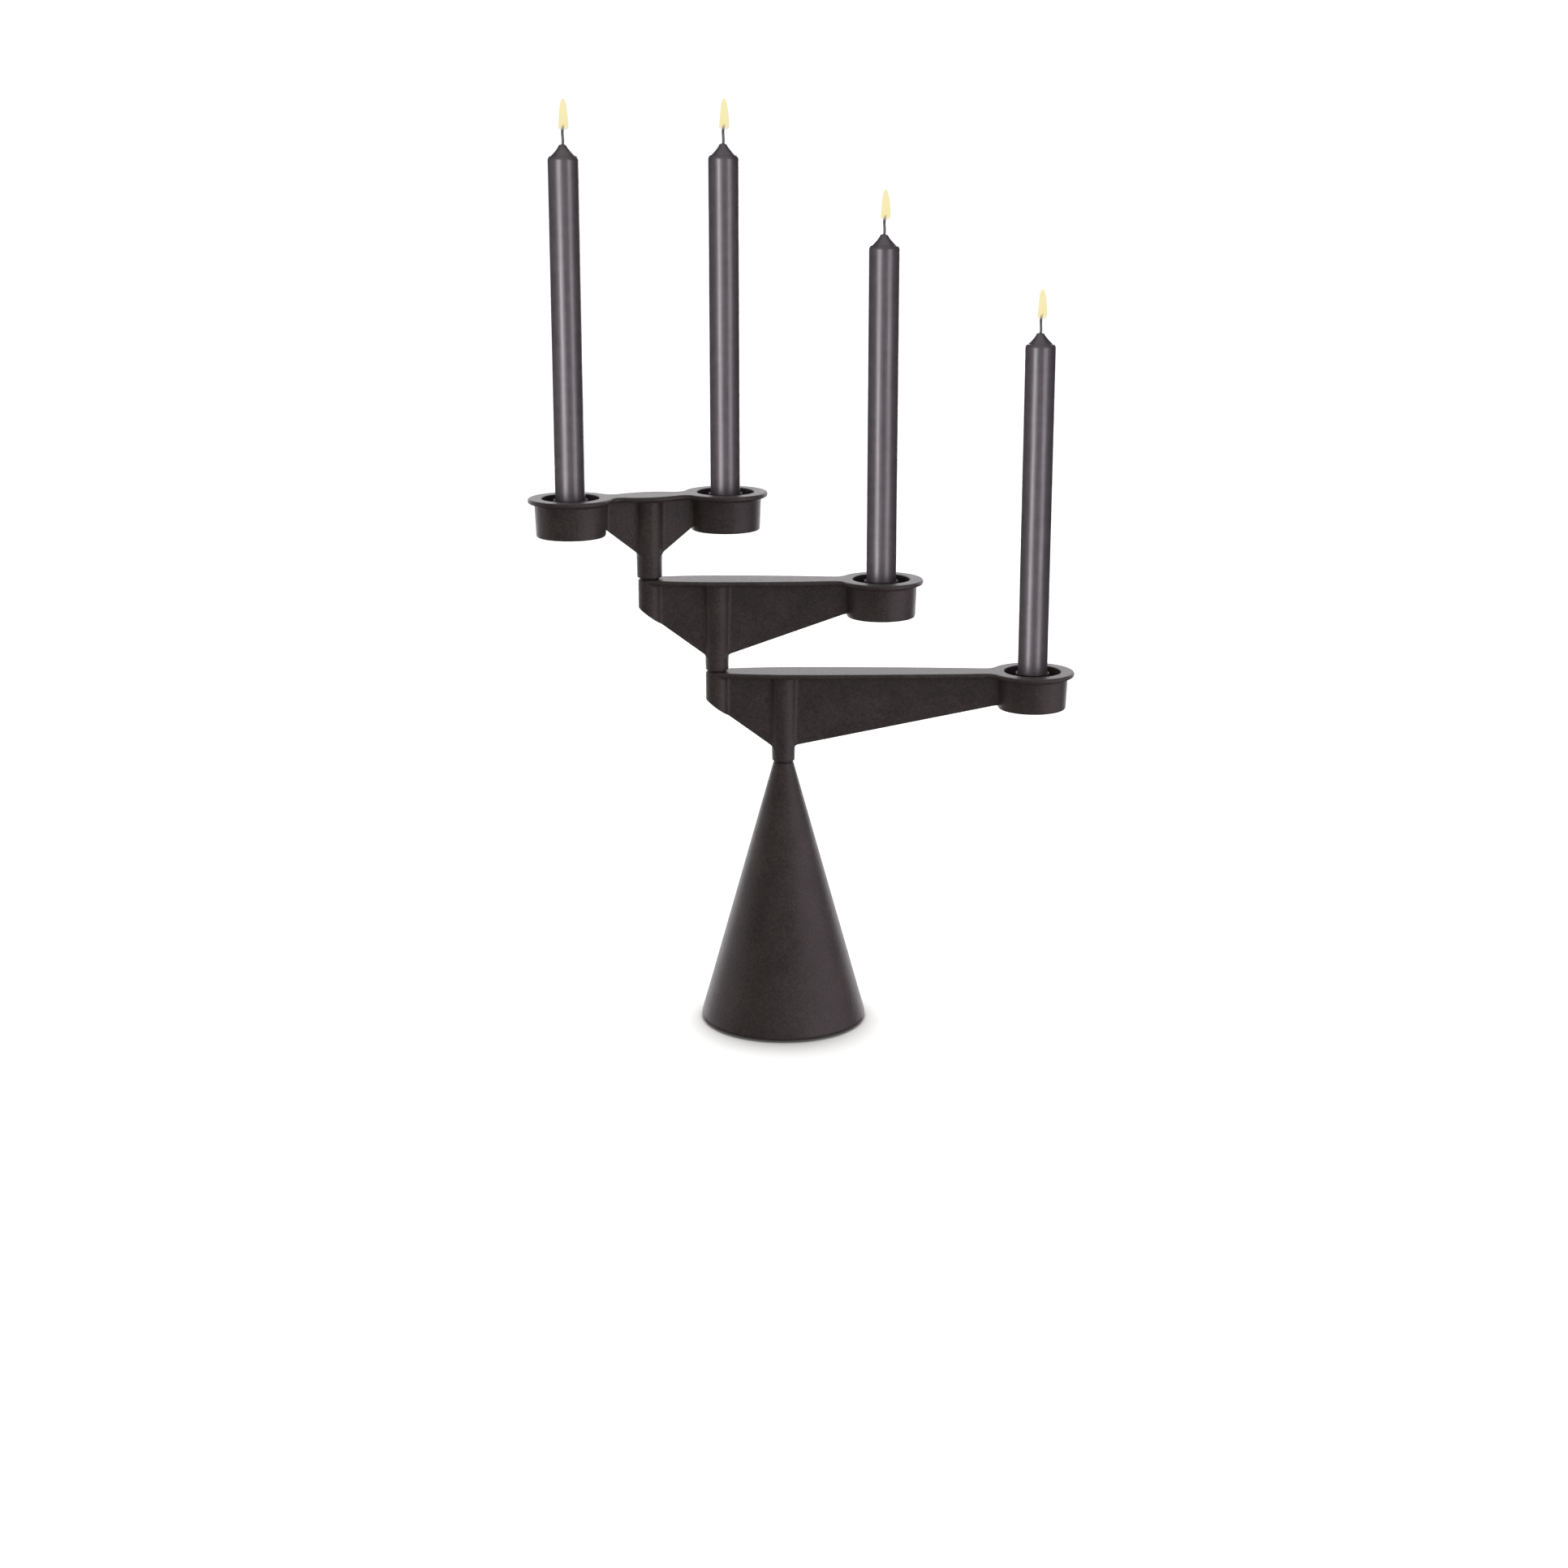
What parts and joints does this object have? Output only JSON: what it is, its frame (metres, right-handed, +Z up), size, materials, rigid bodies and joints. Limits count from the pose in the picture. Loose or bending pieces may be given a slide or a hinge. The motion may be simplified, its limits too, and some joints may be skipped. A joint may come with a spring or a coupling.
{
  "type": "tabletop candelabra",
  "caption": "Cone-based candelabra: stacked cast arms swivel on vertical pivots and hold tapers in open cups with lift-out inserts.",
  "frame": {"origin": "centre of the base's resting face, on the axis of the cone and of the lower pivot", "axes": "+Z up along the pivots, +X towards the lower arm's cup, -Y towards the viewer"},
  "size_m": [0.3733, 0.116, 0.6179],
  "materials": {
    "cast_paint": "satin",
    "insert_paint": "satin",
    "pad_felt": "matte",
    "bush_bronze": "satin",
    "pin_steel": "satin",
    "washer_black": "matte",
    "candle_wax": "gloss",
    "wick_cotton": "matte",
    "flame": "matte"
  },
  "bodies": {
    "base": {"cone_base": "cast_paint", "base_pad": "pad_felt", "base_bush": "bush_bronze", "lower_thrust_washer": "washer_black"},
    "lower_arm": {"lower_arm": "cast_paint", "lower_pivot_pin": "pin_steel", "lower_end_bush": "bush_bronze", "middle_thrust_washer": "washer_black"},
    "middle_arm": {"middle_arm": "cast_paint", "middle_pivot_pin": "pin_steel", "middle_end_bush": "bush_bronze", "upper_thrust_washer": "washer_black"},
    "upper_arm": {"upper_arm": "cast_paint", "upper_pivot_pin": "pin_steel"},
    "lower_insert": {"lower_cup_insert": "insert_paint"},
    "lower_candle": {"lower_candle": "candle_wax", "lower_wick": "wick_cotton"},
    "middle_insert": {"middle_cup_insert": "insert_paint"},
    "middle_candle": {"middle_candle": "candle_wax", "middle_wick": "wick_cotton"},
    "upper_right_insert": {"upper_right_cup_insert": "insert_paint"},
    "upper_right_candle": {"upper_right_candle": "candle_wax", "upper_right_wick": "wick_cotton"},
    "upper_left_insert": {"upper_left_cup_insert": "insert_paint"},
    "upper_left_candle": {"upper_left_candle": "candle_wax", "upper_left_wick": "wick_cotton"}
  },
  "joints": [
    {"name": "lower_arm_swivel", "type": "hinge", "parent": "base", "child": "lower_arm", "pos_m": [0, 0, 0.1885], "axis": [0, 0, 1], "continuous": true},
    {"name": "middle_arm_swivel", "type": "hinge", "parent": "lower_arm", "child": "middle_arm", "pos_m": [-0.0458, 0, 0.2531], "axis": [0, 0, 1], "continuous": true},
    {"name": "upper_arm_swivel", "type": "hinge", "parent": "middle_arm", "child": "upper_arm", "pos_m": [-0.0916, 0, 0.3177], "axis": [0, 0, 1], "continuous": true},
    {"name": "lower_insert_lift", "type": "slide", "parent": "lower_arm", "child": "lower_insert", "axis": [0, 0, 1], "range_m": [0, 0.03]},
    {"name": "lower_candle_lift", "type": "slide", "parent": "lower_insert", "child": "lower_candle", "axis": [0, 0, 1], "range_m": [0, 0.03]},
    {"name": "middle_insert_lift", "type": "slide", "parent": "middle_arm", "child": "middle_insert", "axis": [0, 0, 1], "range_m": [0, 0.03]},
    {"name": "middle_candle_lift", "type": "slide", "parent": "middle_insert", "child": "middle_candle", "axis": [0, 0, 1], "range_m": [0, 0.03]},
    {"name": "upper_right_insert_lift", "type": "slide", "parent": "upper_arm", "child": "upper_right_insert", "axis": [0, 0, 1], "range_m": [0, 0.03]},
    {"name": "upper_right_candle_lift", "type": "slide", "parent": "upper_right_insert", "child": "upper_right_candle", "axis": [0, 0, 1], "range_m": [0, 0.03]},
    {"name": "upper_left_insert_lift", "type": "slide", "parent": "upper_arm", "child": "upper_left_insert", "axis": [0, 0, 1], "range_m": [0, 0.03]},
    {"name": "upper_left_candle_lift", "type": "slide", "parent": "upper_left_insert", "child": "upper_left_candle", "axis": [0, 0, 1], "range_m": [0, 0.03]}
  ]
}
